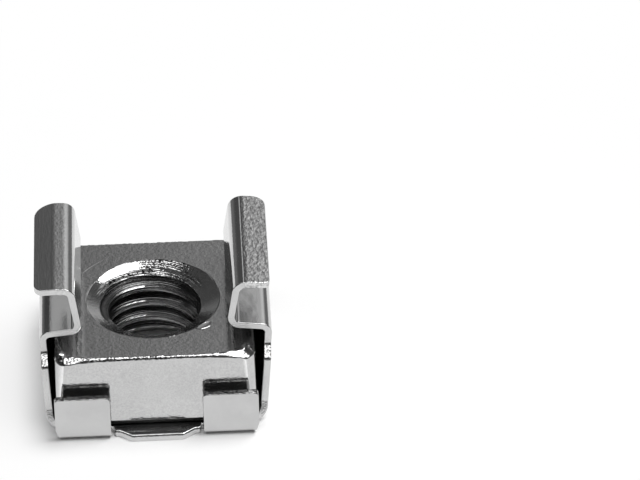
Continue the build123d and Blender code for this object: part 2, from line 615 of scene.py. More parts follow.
@dataclass(frozen=True)
class EdgeProfile:
    """Section of a sheet's cut edge: how far in from the outline it lies, and how high.

    It runs from the upper face over a quarter oval down the sheared wall and over a second quarter
    oval to the lower face, with a guard line beside each oval so that the flats shade flat. Each
    oval has a width and a drop, which may be one number or one per point of the outline.
    """

    sheet: float
    upper: tuple["Array | float", "Array | float"]
    lower: tuple["Array | float", "Array | float"]
    steps: int = 6
    guard: float = 0.02

    def rows(self) -> tuple[Array, Array, Array]:
        """Work out the rows of the edge.

        At turn a of a quarter oval of width w and drop d the inset is w(1 - sin a), and the height
        falls short of the face by d(1 - cos a).

        Returns:
            Inset and height over the sheet's middle by row and point, and each row's share of
            sheared wall.
        """
        half = self.sheet / 2
        turn = np.linspace(0, np.pi / 2, self.steps + 1)[:, None]
        low_turn = turn[::-1]
        sizes = (np.atleast_1d(size)[None] for size in self.upper + self.lower)
        width, drop, low_width, low_drop = sizes
        insets = [
            width + self.guard,
            width * (1 - np.sin(turn)),
            0 * width,
            0 * width,
            low_width * (1 - np.sin(low_turn)),
            low_width + self.guard,
        ]
        heights = [
            half + 0 * drop,
            half - drop * (1 - np.cos(turn)),
            half - drop - self.guard,
            -half + low_drop + self.guard,
            -half + low_drop * (1 - np.cos(low_turn)),
            -half + 0 * low_drop,
        ]
        count = max(width.shape[1], low_width.shape[1])
        inset, height = (
            np.concatenate([np.broadcast_to(row, (row.shape[0], count)) for row in rows])
            for rows in (insets, heights)
        )
        climb = turn[:, 0] / turn[-1, 0]
        return inset, height, np.concatenate([[0.0], climb, [1.0, 1.0], climb[::-1], [0.0]])


@dataclass(frozen=True)
class FoldedLine:
    """Middle line of a strip after folding, at stations along its developed length."""

    along: Array
    across: Array
    up: Array
    heading: Array

    @classmethod
    def through(cls, corners: list[Pair], radii: list[float], steps: int = 12,
                guard: float = 0.03) -> "FoldedLine":
        """Fold a line along the sides of an open polygon, with a round bend at each inner corner.

        The heading is constant on a straight and changes evenly over a bend. A step of length d
        over which the heading turns by t is a chord of length d sin(t / 2) / (t / 2), laid at the
        middle heading, so every station lies exactly on the rounded line.

        Args:
            corners: The polygon's points, across and up.
            radii: Radius of the middle line at each inner corner.
            steps: Steps in each bend.
            guard: Length of the short step on each side of a bend.

        Returns:
            The folded line.
        """
        points = np.array(corners)
        runs = np.diff(points, axis=0)
        lengths = np.hypot(runs[:, 0], runs[:, 1])
        headings = np.unwrap(np.arctan2(runs[:, 1], runs[:, 0]))
        turns = np.diff(headings)
        cuts = np.concatenate([[0.0], np.array(radii) * np.tan(np.abs(turns) / 2), [0.0]])
        straights = lengths - cuts[:-1] - cuts[1:]
        flat = [np.array([guard, length - 2 * guard, guard]) for length in straights]
        bends = [np.full(steps, radius * abs(turn) / steps) for radius, turn in zip(radii, turns)]
        still = np.zeros(3)
        swings = [np.full(steps, turn / steps) for turn in turns]
        lengths_by_step = [flat[0]]
        turns_by_step = [still]
        for bend, swing, straight in zip(bends, swings, flat[1:]):
            lengths_by_step += [bend, straight]
            turns_by_step += [swing, still]
        step = np.concatenate(lengths_by_step)
        turned = np.concatenate(turns_by_step)
        heading = headings[0] + np.concatenate([[0.0], np.cumsum(turned)])
        middle = heading[:-1] + turned / 2
        chord = step * np.sinc(turned / 2 / np.pi)
        across = points[0, 0] + np.concatenate([[0.0], np.cumsum(chord * np.cos(middle))])
        up = points[0, 1] + np.concatenate([[0.0], np.cumsum(chord * np.sin(middle))])
        along = np.concatenate([[0.0], np.cumsum(step)])
        return cls(along, across, up, heading)

    @property
    def length(self) -> float:
        """Developed length."""
        return float(self.along[-1])

    def fold(self, distance: Array, height: Array) -> tuple[Array, Array]:
        """Carry points of the flat strip onto the folded one.

        A point goes to the line's point at its distance, moved by its height at right angles to
        the heading there.

        Args:
            distance: Distance along the strip.
            height: Height over the strip's middle.

        Returns:
            Where the points lie, across and up.
        """
        heading = np.interp(distance, self.along, self.heading)
        across = np.interp(distance, self.along, self.across) - height * np.sin(heading)
        up = np.interp(distance, self.along, self.up) + height * np.cos(heading)
        return across, up


@dataclass(frozen=True)
class EarForm:
    """How one ear is sprung and formed."""

    leg_lean: float
    wall_lean: float
    wall_play: float
    foot_bend: float
    top_bend: float
    front_corner: float
    back_corner: float
    hook_rise: float
    hook_droop: float
    hook_ridge: float


LEFT_EAR = EarForm(
    leg_lean=2.0, wall_lean=7.5, wall_play=0.69, foot_bend=0.25, top_bend=0.28,
    front_corner=0.6, back_corner=1.3, hook_rise=3.0, hook_droop=3.0, hook_ridge=5.35,
)
RIGHT_EAR = EarForm(
    leg_lean=4.5, wall_lean=9.5, wall_play=0.61, foot_bend=0.32, top_bend=0.42,
    front_corner=0.35, back_corner=0.8, hook_rise=3.0, hook_droop=5.0, hook_ridge=5.17,
)


def rounded(points: list[Triple], turn_step: float = 9.0, least: int = 3) -> Array:
    """Outline whose corners are rounded by arcs.

    At a corner with radius r where the outline turns by t, the arc starts r tan(t / 2) before the
    corner, and its points lie on the circle of radius r about the arc's centre, at even angles.

    Args:
        points: Corners of a closed outline, each with its radius as the third number.
        turn_step: Largest turn between two points of an arc, in degrees.
        least: Fewest points of an arc.

    Returns:
        The outline's points.
    """
    corners = np.array(points)
    place, radius = corners[:, :2], corners[:, 2]
    before = place - np.roll(place, 1, axis=0)
    after = np.roll(place, -1, axis=0) - place
    start = np.arctan2(before[:, 1], before[:, 0])
    turn = (np.arctan2(after[:, 1], after[:, 0]) - start + np.pi) % (2 * np.pi) - np.pi
    pieces = []
    for corner, first, swing, size in zip(place, start, turn, radius):
        if size == 0:
            pieces.append(corner[None])
            continue
        count = max(least, math.ceil(abs(math.degrees(swing)) / turn_step) + 1)
        angle = first + np.linspace(0, swing, count)
        sign = np.sign(swing)
        cut = size * math.tan(abs(swing) / 2)
        entry = corner - cut * np.array([math.cos(first), math.sin(first)])
        centre = entry + sign * size * np.array([-math.sin(first), math.cos(first)])
        circle = np.stack([np.sin(angle), -np.cos(angle)], axis=-1)
        pieces.append(centre + sign * size * circle)
    return np.concatenate(pieces)


@dataclass
class SpringCage:
    """The folded cage: base plate, four tabs, and two spring legs with their ears."""

    finish: PlatedSheet = field(default_factory=PlatedSheet)
    sheet: float = 0.4
    nut_half: float = 5.5
    nut_top: float = 4.9
    rack_hole: float = 9.5
    screw_hole: float = 3.525
    hole_roll: float = 0.32
    edge_round: float = 0.045
    lip_roll: Pair = (0.11, 0.2)
    blank_corner: float = 0.1
    lip_corner: float = 0.15
    notch_corner: float = 0.05
    plate_bend: float = 0.6
    leg_gap: float = 0.24
    corner_land: float = 0.35
    corner_slit: float = 0.25
    slit_run: float = 0.05
    tab_gap: float = 0.5
    tab_bend: float = 0.2
    tab_height: float = 2.45
    tab_spacing: float = 5.1
    tab_overhang: float = 0.1
    tab_corner: float = 0.22
    tab_neck: Pair = (0.38, 1.15)
    lip_proud: float = 0.2
    lip_tip_width: float = 2.84
    lip_chamfer: Pair = (0.68, 0.48)
    relief: Pair = (0.18, 0.1)
    foot_flare: float = 0.3
    flare_height: float = 0.8
    step_height: float = 0.55
    step_drop: float = 0.9
    step_round: float = 0.3
    ear_play: float = 1.2
    nut_lift: float = 0.55
    shoulder_bend: float = 0.22
    shoulder_rise: float = 7.0
    channel_height: float = 2.9
    hook_reach: float = 1.68
    ridge_bend: float = 1.5
    hole_points: int = 144
    forms: dict[Side, EarForm] = field(
        default_factory=lambda: {Side.LEFT: LEFT_EAR, Side.RIGHT: RIGHT_EAR}
    )

    def __post_init__(self) -> None:
        """Work out the sizes that follow from the driving ones, and fold the middle lines."""
        middle = self.sheet / 2
        self.middle = middle
        self.leg_middle = self.nut_half + self.leg_gap + middle
        self.leg_root = self.nut_half + self.leg_gap - self.plate_bend - self.slit_run
        self.tab_middle = self.nut_half + self.tab_gap + middle
        self.tab_root = self.nut_half + self.tab_gap - self.tab_bend
        self.tab_near = self.tab_spacing / 2
        self.tab_far = self.nut_half + self.tab_overhang
        self.land_half = self.tab_root - self.corner_land
        self.foot_half = self.land_half - self.corner_slit
        self.leg_half = self.foot_half - self.foot_flare
        self.ear_half = (self.rack_hole - self.ear_play) / 2
        self.step_top = self.nut_top + self.nut_lift - self.step_drop
        self.ears = {side: self.ear_line(form) for side, form in self.forms.items()}
        corners = [
            (self.land_half, middle),
            (self.tab_middle, middle),
            (self.tab_middle, self.sheet + self.tab_height),
        ]
        self.tab = FoldedLine.through(corners, [self.tab_bend + middle])

    def ear_line(self, form: EarForm) -> FoldedLine:
        """Fold the middle line of a leg and its ear, from the plate's edge to the hook's tip.

        Args:
            form: How the ear is sprung and formed.

        Returns:
            The line, which starts at the leg's root.
        """
        middle = self.middle
        lean, slope, rise = (
            math.tan(math.radians(angle))
            for angle in (form.leg_lean, form.wall_lean, self.shoulder_rise)
        )
        bend_top = self.sheet + self.plate_bend
        shoulder_height = self.nut_top + self.nut_lift + middle
        hook_height = shoulder_height + self.channel_height
        tilt = middle * math.sin(math.radians(form.hook_droop))
        hook_tip = self.rack_hole / 2 + self.hook_reach - tilt
        shoulder = self.leg_middle + (shoulder_height - bend_top) * lean
        wall = self.rack_hole / 2 - form.wall_play
        wall_foot = (wall + shoulder * rise * slope) / (1 + rise * slope)
        up, down = (math.tan(math.radians(angle)) for angle in (form.hook_rise, form.hook_droop))
        ridge = form.hook_ridge
        wall_top = (wall + (self.channel_height - ridge * up) * slope) / (1 - up * slope)
        corners = [
            (self.leg_root, middle),
            (self.leg_middle - (bend_top - middle) * lean, middle),
            (shoulder, shoulder_height),
            (wall_foot, shoulder_height + (shoulder - wall_foot) * rise),
            (wall_top, hook_height - (ridge - wall_top) * up),
            (ridge, hook_height),
            (hook_tip, hook_height - (hook_tip - ridge) * down),
        ]
        inner = [self.plate_bend, self.shoulder_bend, form.foot_bend, form.top_bend, self.ridge_bend]
        return FoldedLine.through(corners, [bend + middle for bend in inner])

    def leg_distance(self, side: Side, height: float) -> float:
        """Find where the rising leg reaches a height.

        It is read off the stations from the plate's end, number 2, to a little over the steps.

        Args:
            side: The leg.
            height: Height over the ground.

        Returns:
            The distance along the ear's strip.
        """
        line = self.ears[side]
        rising = slice(2, int(np.argmax(line.up > self.step_top + self.step_height)) + 1)
        return float(np.interp(height, line.up[rising], line.along[rising]))

    def quadrant(self, side: Side, end: End) -> list[Triple]:
        """Lay out a quarter of the flat blank, from the lip to the ear's tip.

        Args:
            side: The quarter's leg.
            end: The leg's end that lies in the quarter.

        Returns:
            Its corners, as distances from the blank's middle lines, each with its radius.
        """
        form, line = self.forms[side], self.ears[side]
        corner = form.front_corner if end is End.FRONT else form.back_corner
        tip = self.lip_tip_width / 2
        reach = self.nut_half + self.tab_gap + self.sheet + self.lip_proud
        ledge = reach - self.lip_chamfer[1]
        notch = self.tab_near - self.relief[0]
        notch_end = self.tab_root - self.relief[1]
        tab_tip = self.land_half + self.tab.length
        flare_start = self.leg_root + self.leg_distance(side, self.sheet)
        flare_end = self.leg_root + self.leg_distance(side, self.sheet + self.flare_height)
        step_start = self.leg_root + self.leg_distance(side, self.step_top - self.step_height)
        step_end = self.leg_root + self.leg_distance(side, self.step_top)
        ear_tip = self.leg_root + line.length
        return [
            (tip, reach, self.lip_corner),
            (tip + self.lip_chamfer[0], ledge, self.lip_corner),
            (notch, ledge, self.lip_corner),
            (notch, notch_end, self.notch_corner),
            (self.tab_near, notch_end, self.notch_corner),
            (self.tab_near, tab_tip, self.tab_corner),
            (self.tab_far, tab_tip, self.tab_corner),
            (self.tab_far, self.land_half + self.tab_neck[1], self.step_round),
            (self.tab_far - self.tab_neck[0], self.land_half, self.blank_corner),
            (self.leg_root, self.land_half, self.notch_corner),
            (self.leg_root, self.foot_half, self.notch_corner),
            (flare_start, self.foot_half, self.step_round),
            (flare_end, self.leg_half, self.step_round),
            (step_start, self.leg_half, self.step_round),
            (step_end, self.ear_half, self.step_round),
            (ear_tip, self.ear_half, corner),
        ]

    def blank_outline(self) -> Array:
        """Join the four quarters of the flat blank.

        Returns:
            The rounded outline, which runs clockwise seen from above.
        """
        loop = []
        quarters = [
            (Side.RIGHT, End.BACK, False),
            (Side.RIGHT, End.FRONT, True),
            (Side.LEFT, End.FRONT, False),
            (Side.LEFT, End.BACK, True),
        ]
        for side, end, reverse in quarters:
            corners = self.quadrant(side, end)
            ordered = corners[::-1] if reverse else corners
            loop += [(side.value * x, end.value * y, radius) for x, y, radius in ordered]
        return rounded(loop)

    @staticmethod
    def band(outline: Array, profile: EdgeProfile) -> tuple[Array, Array, Array]:
        """Carry an edge profile along an outline.

        Each row of the band is the outline moved inwards by the row's inset, along the mitre of
        the two sides that meet at each point, and lifted to the row's height.

        Args:
            outline: Points of a closed outline that has the material on its right.
            profile: Section of the edge.

        Returns:
            Points, quads and the share of sheared wall at each point.
        """
        inset, height, sheared = profile.rows()
        after = np.roll(outline, -1, axis=0) - outline
        after /= np.linalg.norm(after, axis=1, keepdims=True)
        inward = np.stack([after[:, 1], -after[:, 0]], axis=-1)
        before = np.roll(inward, 1, axis=0)
        mitre = (inward + before) / (1 + np.sum(inward * before, axis=1, keepdims=True))
        flat = outline[None] + inset[..., None] * mitre[None]
        lift = np.broadcast_to(height[..., None], flat.shape[:2] + (1,))
        points = np.concatenate([flat, lift], axis=-1).reshape(-1, 3)
        share = np.repeat(sheared, len(outline))
        return points, ring_faces(len(inset), len(outline), False), share

    def flat_blank(self) -> bpy.types.Mesh:
        """Cut and score the flat blank.

        Returns:
            The blank with its screw hole, closed on both faces, its middle at height 0.
        """
        outline = self.blank_outline()
        across, away = np.abs(outline).T
        lip = (across < self.tab_near - self.relief[0]) & (away > self.tab_root)
        rolled = tuple(np.where(lip, size, self.edge_round) for size in self.lip_roll)
        even = (self.edge_round, self.edge_round)
        edge = EdgeProfile(self.sheet, rolled, even)
        hole = EdgeProfile(self.sheet, even, (self.hole_roll, self.hole_roll), steps=9)
        angle = np.linspace(0, 2 * np.pi, self.hole_points, endpoint=False)
        circle = self.screw_hole * np.stack([np.cos(angle), np.sin(angle)], axis=-1)
        points, faces, share = self.band(outline, edge)
        more_points, more_faces, more_share = self.band(circle, hole)
        mesh = store(
            "plated_cage",
            np.concatenate([points, more_points]),
            np.concatenate([faces, more_faces + len(points)]),
            {Zone.SHEARED: np.concatenate([share, more_share])},
        )
        blank = bmesh.new()
        blank.from_mesh(mesh)
        for above in (True, False):
            rims = [side for side in blank.edges if side.is_boundary]
            ring = [side for side in rims if (side.verts[0].co.z > 0) == above]
            bmesh.ops.triangle_fill(blank, edges=ring, use_beauty=True, use_dissolve=False)
        self.score(blank)
        blank.to_mesh(mesh)
        blank.free()
        return mesh

    def score(self, blank: bmesh.types.BMesh) -> None:
        """Cut the flat blank along every station at which it will be folded.

        Args:
            blank: The blank, which is changed.
        """
        across = [
            (side.value * (self.leg_root + distance), Vector((1, 0, 0)))
            for side, line in self.ears.items()
            for distance in line.along[1:-1]
        ]
        along = [
            (end.value * (self.land_half + distance), Vector((0, 1, 0)))
            for end in End
            for distance in self.tab.along[1:-1]
        ]
        for offset, direction in across + along:
            everything = blank.verts[:] + blank.edges[:] + blank.faces[:]
            bmesh.ops.bisect_plane(
                blank, geom=everything, dist=1e-5, plane_co=direction * offset, plane_no=direction
            )

    def fold(self, flat: Array) -> Array:
        """Fold the blank's points up into the cage.

        Points past a leg's root follow its middle line by their distance from the root, and points
        of the tabs follow the tab's line by their distance from the land. The rest of the plate is
        only lifted by half the sheet.

        Args:
            flat: Points of the blank.

        Returns:
            Points of the cage.
        """
        x, y, height = flat.T
        folded = np.stack([x, y, height + self.middle], axis=-1)
        slit = (self.land_half + self.foot_half) / 2
        for side, line in self.ears.items():
            mask = (side.value * x > self.leg_root) & (np.abs(y) < slit)
            across, up = line.fold(side.value * x[mask] - self.leg_root, height[mask])
            folded[mask, 0] = side.value * across
            folded[mask, 2] = up
        notch = self.tab_near - self.relief[0] / 2
        for end in End:
            mask = (end.value * y > self.land_half) & (np.abs(x) > notch)
            across, up = self.tab.fold(end.value * y[mask] - self.land_half, height[mask])
            folded[mask, 1] = end.value * across
            folded[mask, 2] = up
        return folded

    def build(self) -> bpy.types.Object:
        """Cut, score and fold the blank, and dress it.

        Returns:
            The finished cage.
        """
        mesh = self.flat_blank()
        points = self.fold(read_points(mesh))
        return finish_piece(mesh, points, self.finish.material(), "cage")


# The nut


@dataclass(frozen=True)
class Mound:
    """A burr that stands up at a corner of the nut's upper face."""

    x: float
    y: float
    height: float
    radius: float

    def share(self, points: Array) -> Array:
        """Bell curve of the distance from the mound's middle, 1 there and nearly 0 outside."""
        away = (points[..., 0] - self.x) ** 2 + (points[..., 1] - self.y) ** 2
        return np.exp(-away / self.radius**2)


def bell(value: Array, middle: "Array | float", width: float, power: int = 2) -> Array:
    """Bell curve: 1 at the middle, falling with a power of the distance in widths."""
    return np.exp(-(((value - middle) / width) ** power))


@dataclass
class SquareNut:
    """The square nut, one closed surface from its thread to its outside."""

    finish: PlatedNut = field(default_factory=PlatedNut)
    width: float = 11.0
    base: float = 0.4
    thickness: float = 4.5
    spread: float = 0.2
    corner_top: float = 0.56
    corner_foot: Window = (0.3, 0.2, 0.04, 0.24)
    corner_fullness: float = 1.35
    top_middle: Pair = (0.13, 0.14)
    top_corner: Pair = (0.47, 0.34)
    top_power: float = 5.0
    top_ripple: tuple[Pair, ...] = (
        (5, 0.02), (9, 0.03), (14, 0.04), (37, 0.05), (61, 0.05), (88, 0.04)
    )
    straight: Triple = (1.8, 0.54, 0.9)
    back_share: float = 0.15
    bottom_edge: float = 0.38
    foot_painted_shade: float = 1.15
    ragged_places: Triple = (-1.0, 1.5, 3.5)
    ragged_burr: Triple = (1.3, 0.65, 0.12)
    bore: float = 2.5
    thread_depth: float = 0.47
    pitch: float = 1.0
    crest_share: float = 0.2
    root_share: float = 0.14
    lead_angle: float = 175.0
    furrow_waves: Triple = (4.0, 2.3, 3.0)
    furrow_depth: float = 0.02
    thread_burr: float = 0.02
    shine: Pair = (0.2, 0.08)
    under_flank_lift: float = 0.35
    shine_sector: Window = (99.0, 101.0, 130.0, 150.0)
    shine_share: Window = (0.3, 1.0, 1.0, 0.2)
    rim_sector: Window = (20.0, 60.0, 145.0, 165.0)
    rim_burr: Triple = (0.03, 0.34, 0.09)
    rim_waves: tuple[Triple, ...] = ((5, 0.35, 0), (13, 0.3, 1))
    rim_marks: Pair = (0.85, 0.7)
    rim_glint_sector: Window = (48.0, 62.0, 82.0, 92.0)
    glint_smoothing: float = 0.8
    rim_highlight_width: float = 0.02
    rim_highlight_sector: Window = (50.0, 90.0, 195.0, 215.0)
    torn_sector: Window = (20.0, 70.0, 88.0, 104.0)
    torn_marks: Pair = (0.25, 0.9)
    corner_sheen: Window = (0.1, 0.12, 0.4, 0.1)
    mouth: float = 3.725
    mouth_painted_shade: float = 0.6
    countersink_angle: float = 120.0
    mounds: tuple[Mound, ...] = (
        Mound(5.1, -4.92, 0.30, 0.17),
        Mound(-5.27, -4.95, 0.24, 0.20),
        Mound(5.1, 5.0, 0.16, 0.2),
        Mound(-5.1, 5.0, 0.2, 0.2),
    )
    mound_depth: float = 1.0
    mound_burr: float = 1.2
    columns_per_side: int = 88
    columns_per_corner: int = 16
    rows_per_pitch: int = 38
    edge_steps: int = 9
    face_rings: tuple[float, ...] = (0.75, 0.56, 0.42, 0.3, 0.2, 0.12, 0.06, 0.02)
    face_middle: float = 0.3
    wall_rings: int = 8
    wall_start: float = 0.5
    guard: float = 0.03
    seed: int = 11

    def __post_init__(self) -> None:
        """Lay out the columns: their shares of a side, turns of a corner, and angles.

        Columns on a side stand at even angles seen from the axis, and columns of a corner at even
        turns.
        """
        self.half = self.width / 2
        self.top = self.base + self.thickness
        reach = math.atan2(self.half - self.corner_top, self.half)
        side = np.linspace(-reach, reach, self.columns_per_side, endpoint=False)
        self.side_share = np.tan(side) / math.tan(reach)
        self.turn = np.linspace(0, np.pi / 2, self.columns_per_corner, endpoint=False)
        level = self.outline(np.array([self.top]), np.zeros((1, 1)))[0]
        self.angle = np.arctan2(level[:, 1], level[:, 0])
        self.around = np.stack([np.cos(self.angle), np.sin(self.angle)], axis=-1)
        self.along = np.minimum(np.abs(level).min(axis=1) / (self.half - self.corner_top), 1.0)
        self.back = level[:, 1] > 0

    @staticmethod
    def quarter_turns() -> list[Array]:
        """Matrices that turn rows of points by 0, 90, 180 and 270 degrees."""
        return [np.array([[c, s], [-s, c]]) for c, s in ((1, 0), (0, 1), (-1, 0), (0, -1))]

    def outline(self, height: Array, inset: Array) -> Array:
        """Outline of the nut at each height, set in.

        At height z, each corner is cut back to a size that runs evenly from one number at the
        foot to another at the top. Its points go by powers of the turn's cosine and sine, which
        for a power over 1 lie between a round and a straight cut. Setting in shrinks a corner
        about its own middle. Y then grows evenly downwards.

        Args:
            height: One height per row.
            inset: How far in each point lies, by row and column, or one number per row.

        Returns:
            Points by row and column.
        """
        rise = ((height - self.base) / self.thickness)[:, None]
        power = 2 / self.corner_fullness
        count = len(self.side_share) + len(self.turn)
        inset = np.broadcast_to(inset, (len(height), 4 * count))
        least = inset.max(axis=1, keepdims=True) + self.guard
        parts = []
        for number, (foot, turn) in enumerate(zip(self.corner_foot, self.quarter_turns())):
            size = np.maximum(foot + (self.corner_top - foot) * rise, least)
            flat = self.half - size
            own = inset[:, number * count : (number + 1) * count]
            along, bent = own[:, : len(self.side_share)], own[:, len(self.side_share) :]
            side = np.stack([self.half - along, flat * self.side_share], axis=-1)
            bend = [flat + (size - bent) * wave(self.turn) ** power for wave in (np.cos, np.sin)]
            parts.append(np.concatenate([side, np.stack(bend, axis=-1)], axis=1) @ turn)
        level = np.concatenate(parts, axis=1)
        level[..., 1] *= 1 + self.spread / self.half * (1 - rise)
        return level

    def edge_sizes(self) -> tuple[Array, Array, Array]:
        """Work out the upper edge's slope.

        All three sizes grow with a power of the distance from the middle of a side, less at the
        back, and slow and quick waves of seeded phase make width and drop uneven.

        Returns:
            Its width and its drop at each column, and how straight it is there.
        """
        share = self.along**self.top_power * np.where(self.back, self.back_share, 1.0)
        waves, heights = np.array(self.top_ripple).T
        phases = np.random.default_rng(self.seed).uniform(0, 2 * np.pi, len(waves))
        ripple = 1 + np.sum(heights * np.sin(self.angle[:, None] * waves + phases), axis=1)
        width, drop = (
            (middle + (corner - middle) * share) * ripple
            for middle, corner in zip(self.top_middle, self.top_corner)
        )
        gain, least, most = self.straight
        return width, drop, np.clip(gain * share, least, most)

    def in_sector(self, limits: Window) -> Array:
        """How far each column lies in a sector, rising and falling evenly between its degrees."""
        return np.interp(np.degrees(self.angle)[None] % 360, limits, [0.0, 1.0, 1.0, 0.0])

    def thread_wall(self, height: Array) -> tuple[Array, Array]:
        """Wind the thread.

        The phase is the height in pitches less the angle in turns, which makes the ridge climb one
        pitch per turn, right-handed. Its distance from the crest's middle, from 0 to 1, eases over
        the flank from the flat of the crest to the flat of the root. Fine furrows run along it, a
        cosine of the phase whose depth swells and sinks with the turn. The thread is unplated and
        darkened with painted shade, but for a stripe on its flank, a bell curve that is a painted
        highlight in the sector that faces the key lamp, and it is darkened less on its under side,
        which is painted light.

        Args:
            height: One height per row.

        Returns:
            The thread's radius and its share of unplated metal with painted shade, by row and column.
        """
        start = math.radians(self.lead_angle)
        phase = height[:, None] / self.pitch - (self.angle[None] + start) / (2 * np.pi)
        from_crest = 2 * np.abs(phase - np.round(phase))
        flank = 1 - self.crest_share - self.root_share
        down = np.clip((from_crest - self.crest_share) / flank, 0, 1)
        thread = self.bore + self.thread_depth * down * down * (3 - 2 * down)
        across, around, climb = self.furrow_waves
        swell = np.sin(around * self.angle + climb * phase)
        thread = thread + self.furrow_depth * np.cos(2 * np.pi * across * phase) * swell
        # Painted highlight: in the sector that faces the key lamp, the crest's stripe is darkened less.
        highlight_share = np.interp(np.degrees(self.angle)[None], self.shine_sector, self.shine_share)
        # Painted light: the under flanks are darkened less, which lifts their shade.
        under = np.where(phase < np.round(phase), self.under_flank_lift, 1.0)
        return thread, (1 - highlight_share * bell(down, *self.shine)) * under

    def bore_wall(self, height: Array) -> tuple[Array, Array, Array]:
        """Set the countersinks into the thread.

        The two countersinks are cones, and the wall is wherever the larger radius is. At the rim
        between them and the thread a burr stands in, a bell curve of the depth whose height waves
        round the bore, and in one sector it is smoothed and given a painted highlight. The
        countersinks are torn in another. In a third, a painted highlight line follows the edge where
        the cone meets the thread.

        Args:
            height: One height per row.

        Returns:
            The wall's radius and its shares of unplated metal with painted shade and of burr, by row and column.
        """
        thread, bored = self.thread_wall(height)
        spread = math.tan(math.radians(self.countersink_angle / 2))
        depth = np.minimum(self.top - height, height - self.base)[:, None]
        cone = self.mouth - depth * spread
        amount, level, reach = self.rim_burr
        rim = bell(depth, level, reach, power=4) * self.in_sector(self.rim_sector)
        waves = 1.0
        for count, size, turn in self.rim_waves:
            waves = waves + size * np.sin(count * self.angle + turn)
        torn = self.in_sector(self.torn_sector)
        bare_and_shade, burr = (
            np.maximum(of_rim * rim, of_torn * torn)
            for of_rim, of_torn in zip(self.rim_marks, self.torn_marks)
        )
        # Painted highlight: in this sector the rim is darkened less and burred less.
        smooth = rim * self.in_sector(self.rim_glint_sector)
        inside = thread > cone
        bare_and_shade = np.where(inside, bored, bare_and_shade * (1 - smooth))
        # Painted highlight: a thin line where the cone meets the thread is left undarkened.
        bare_and_shade = bare_and_shade * (1 - self.in_sector(self.rim_highlight_sector) * bell(thread, cone, self.rim_highlight_width))
        burr = np.where(inside, self.thread_burr, burr * (1 - self.glint_smoothing * smooth))
        return np.maximum(thread, cone) - amount * rim * waves, bare_and_shade, burr

    def face_rows(self, height: float, inset: Array) -> Array:
        """Fill a flat face with rings, from the countersink's mouth out to the edge's slope.

        One ring lies close to the mouth, one at a share of the way, and the rest at fixed
        distances from the outer edge.

        Args:
            height: The face's height.
            inset: How far in its outer edge lies, by column.

        Returns:
            Points by row and column.
        """
        inner = self.mouth * self.around
        outer = self.outline(np.array([height]), inset[None])[0]
        span = np.linalg.norm(outer - inner, axis=1, keepdims=True)
        shares = [self.guard / span, self.face_middle + 0 * span]
        shares += [1 - distance / span for distance in self.face_rings]
        return self.lifted(inner + (outer - inner) * np.stack(shares), height)

    def side_rows(self, inset: Array, height: Array) -> Array:
        """Rings that follow the outline, each point set in and lifted by its own numbers.

        Every point takes the outline at its row's middle height.
        """
        inset, height = np.broadcast_arrays(inset, height)
        return self.lifted(self.outline(height.mean(axis=1), inset), height)

    @staticmethod
    def lifted(flat: Array, height: "Array | float") -> Array:
        """Rings in the plane with their heights added as the third number."""
        level = np.broadcast_to(np.asarray(height, dtype=float), flat.shape[:2])
        return np.concatenate([flat, level[..., None]], axis=-1)

    def rings(self) -> tuple[Array, dict[Zone, Array]]:
        """Stack the rings of the closed surface, from the bore's lower end to the lower face.

        The upper edge lies between a quarter round and a straight slope, and is straighter towards
        the corners: a share s of the way down, the round is set in by 1 - sin(90 s) and lowered by
        1 - cos(90 s), and the slope by 1 - s and s, in parts of the edge's width and drop.

        The upper countersink's mouth is darkened in part and the rounded foot wholly, both with
        painted shade, the corners get a painted highlight, the slope is burred less and less towards
        the right, and mounds stand up at the corners.

        Returns:
            Points by row and column, and each zone's share by row and column.
        """
        count = round(self.thickness / self.pitch * self.rows_per_pitch) + 1
        level = np.linspace(self.base, self.top, count)
        radius, bare_and_shade, burr = self.bore_wall(level)
        step = np.linspace(0, 1, self.edge_steps + 1)[:, None]
        sine, cosine = 1 - np.sin(step * np.pi / 2), 1 - np.cos(step * np.pi / 2)
        width, drop, sloped = (values[None] for values in self.edge_sizes())
        top_inset = width * (sine * (1 - sloped) + (1 - step) * sloped)
        top_drop = drop * (cosine * (1 - sloped) + step * sloped)
        none = np.zeros_like(width)
        low = none + self.bottom_edge
        wall_end = self.base + self.bottom_edge + self.guard
        wall = np.linspace(self.top - self.wall_start, wall_end, self.wall_rings)[:, None]
        parts = {
            Band.BORE: self.lifted(radius[..., None] * self.around, level[:, None]),
            Band.UPPER_FACE: self.face_rows(self.top, width[0]),
            Band.SLOPE: self.side_rows(top_inset, self.top - top_drop),
            Band.SHOULDER: self.side_rows(none, self.top - drop - self.guard),
            Band.WALL: self.side_rows(none, wall + none),
            Band.FOOT: self.side_rows(low * cosine, self.base + low * sine),
            Band.LOWER_FACE: self.face_rows(self.base, low[0])[::-1],
        }
        points = np.concatenate(list(parts.values()))
        ends = np.cumsum([len(part) for part in parts.values()])
        rows = {band: slice(end - len(parts[band]), end) for band, end in zip(parts, ends)}
        zones = {zone: np.zeros(points.shape[:2]) for zone in (Zone.BARE_AND_SHADE, Zone.BURR, Zone.CORNER_SHEEN)}
        zones[Zone.BARE_AND_SHADE][rows[Band.BORE]] = bare_and_shade
        # Painted shade: the ring at the countersink's mouth is darkened, which dims a bright line there.
        zones[Zone.BARE_AND_SHADE][count - 1] = self.mouth_painted_shade
        # Painted shade: the rounded foot is darkened more than unplated metal.
        zones[Zone.BARE_AND_SHADE][rows[Band.FOOT]] = self.foot_painted_shade
        zones[Zone.BURR][rows[Band.BORE]] = burr
        ragged = np.interp(parts[Band.SLOPE][0, :, 0], self.ragged_places, self.ragged_burr)
        zones[Zone.BURR][rows[Band.SLOPE]] = ragged
